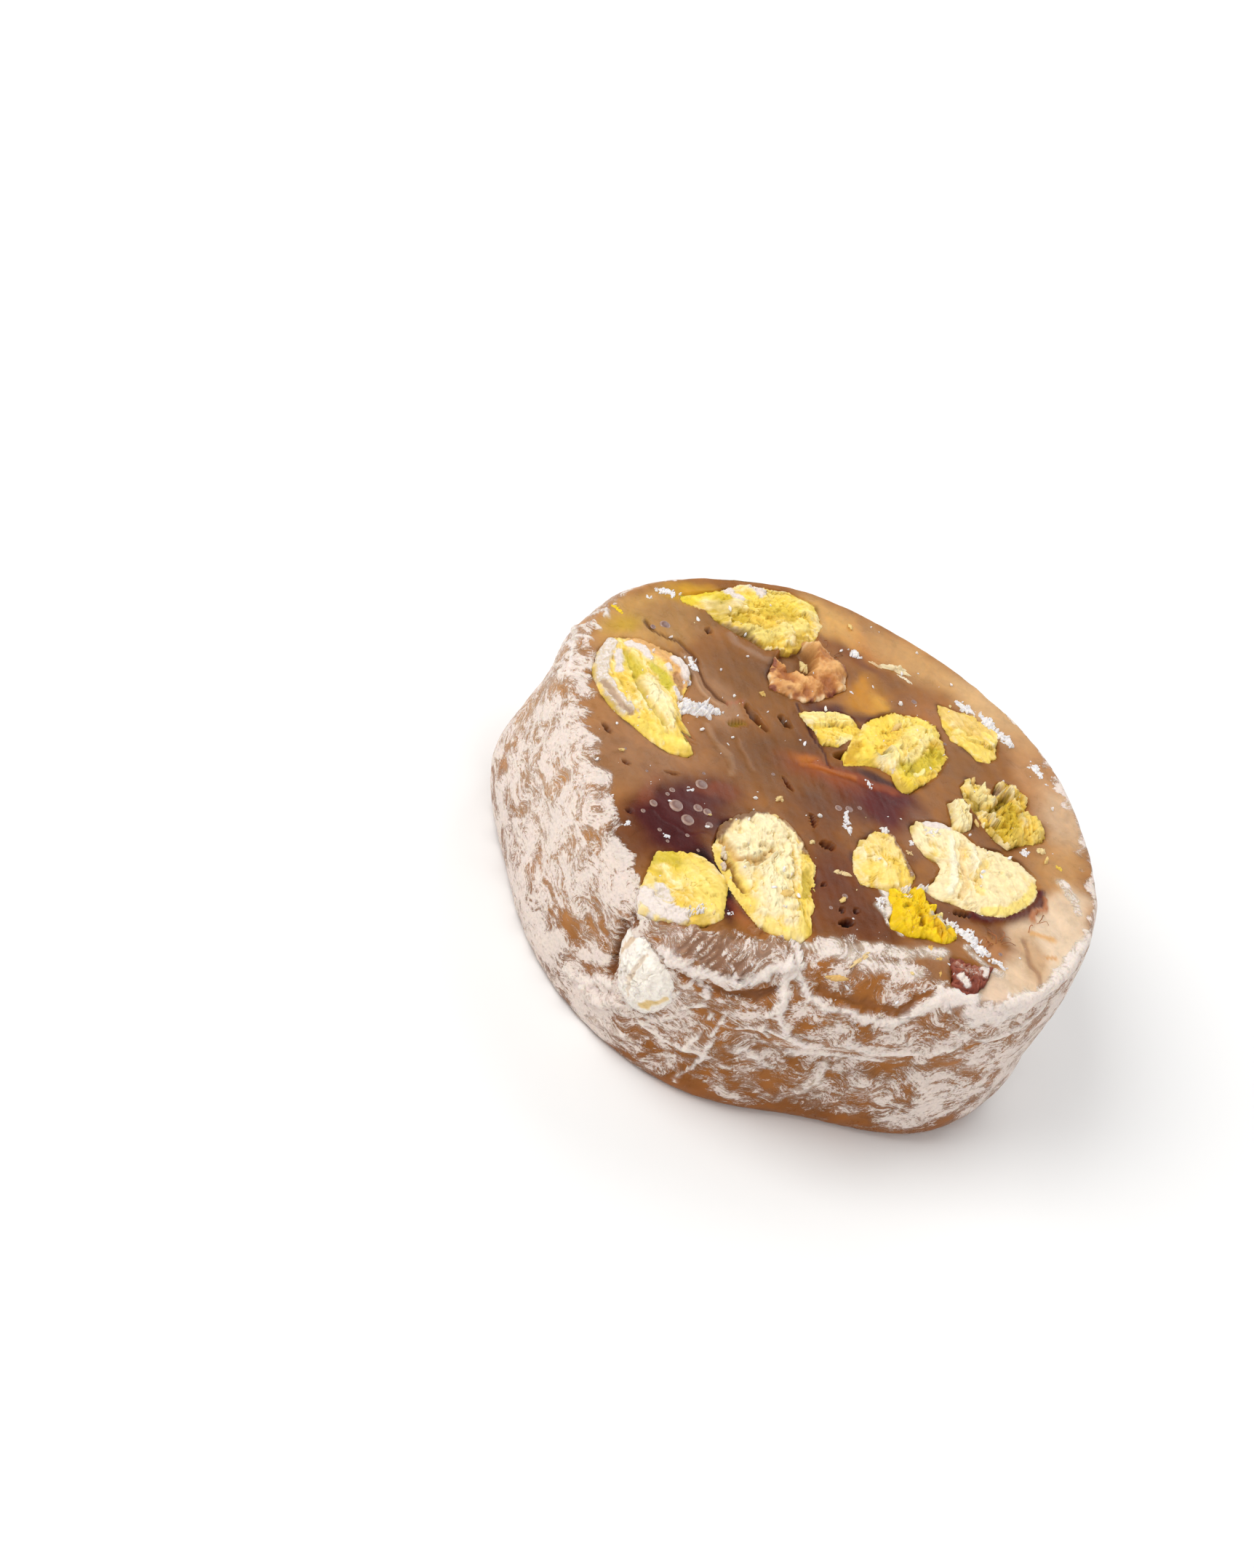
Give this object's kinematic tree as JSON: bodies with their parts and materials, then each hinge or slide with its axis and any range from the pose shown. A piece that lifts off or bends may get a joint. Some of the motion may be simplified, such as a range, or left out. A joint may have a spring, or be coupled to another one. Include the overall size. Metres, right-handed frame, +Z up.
{
  "type": "turkish delight",
  "caption": "Thick round slice of chewy turkish delight, with broken pistachio kernels standing in its cut face and starch powder on its side.",
  "frame": {"origin": "middle of the slice's box, on the lower cut it lies on", "axes": "+Z up through the upper cut, +X along the slice's longer width"},
  "size_m": [0.0568, 0.0524, 0.0207],
  "materials": {
    "jelly": "moist, slightly clouded brown jelly, glossy on the cut, dusted on the side",
    "nut_cream": "matt, broken kernel, cream with yellow edges",
    "nut_yellow": "matt, broken kernel, yellow to yellow-green",
    "nut_green": "matt, crumbled kernel, olive yellow",
    "nut_bright": "satin, saturated yellow kernel",
    "nut_red": "moist, red-brown, half clear",
    "nut_skin": "matt, papery, tan with darker fibres",
    "nut_powdered": "matt, whitish, dusted with starch",
    "powder": "matt white starch powder in lumps"
  },
  "bodies": {
    "root": {"jelly": "jelly", "kernel_far_left": "nut_yellow", "kernel_skinned": "nut_cream", "skin_curl": "nut_skin", "kernel_chip": "nut_yellow", "kernel_diamond": "nut_yellow", "kernel_far_right": "nut_yellow", "kernel_crumbled": "nut_green", "kernel_crumb": "nut_cream", "kernel_boot": "nut_cream", "kernel_small": "nut_cream", "kernel_bright": "nut_bright", "kernel_red": "nut_red", "kernel_near": "nut_yellow", "kernel_large": "nut_cream", "kernel_wall": "nut_powdered"}
  },
  "joints": []
}
